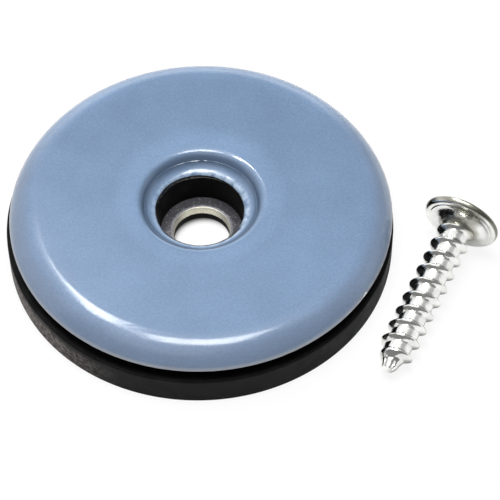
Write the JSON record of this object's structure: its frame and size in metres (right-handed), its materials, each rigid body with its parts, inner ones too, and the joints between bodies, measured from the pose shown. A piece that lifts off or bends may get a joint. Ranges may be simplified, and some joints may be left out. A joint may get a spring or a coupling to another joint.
{
  "type": "furniture slider",
  "caption": "Round screw-on furniture slider: a low-friction skin with a sunk centre hole on a flanged rubber base with a steel insert, and its loose fixing screw beside it.",
  "frame": {"origin": "on the screw hole's axis, in the plane of the rubber face that meets the furniture", "axes": "+Z along the hole's axis, from the furniture face to the glide face; the loose screw lies on the +X side"},
  "size_m": [0.063, 0.05, 0.01],
  "materials": {
    "skin": "smooth satin, blue-grey low-friction plastic",
    "rubber": "matt black moulded rubber",
    "insert": "dull grainy zinc-plated steel",
    "zinc": "bright zinc-plated steel"
  },
  "bodies": {
    "slider": {"glide_skin": "skin", "rubber_base": "rubber", "steel_insert": "insert"},
    "loose_screw": {"screw": "zinc"}
  },
  "joints": [
    {"name": "screw_lift", "type": "slide", "parent": "slider", "child": "loose_screw", "axis": [0, 0, 1], "range_m": [0, 0.04]}
  ]
}
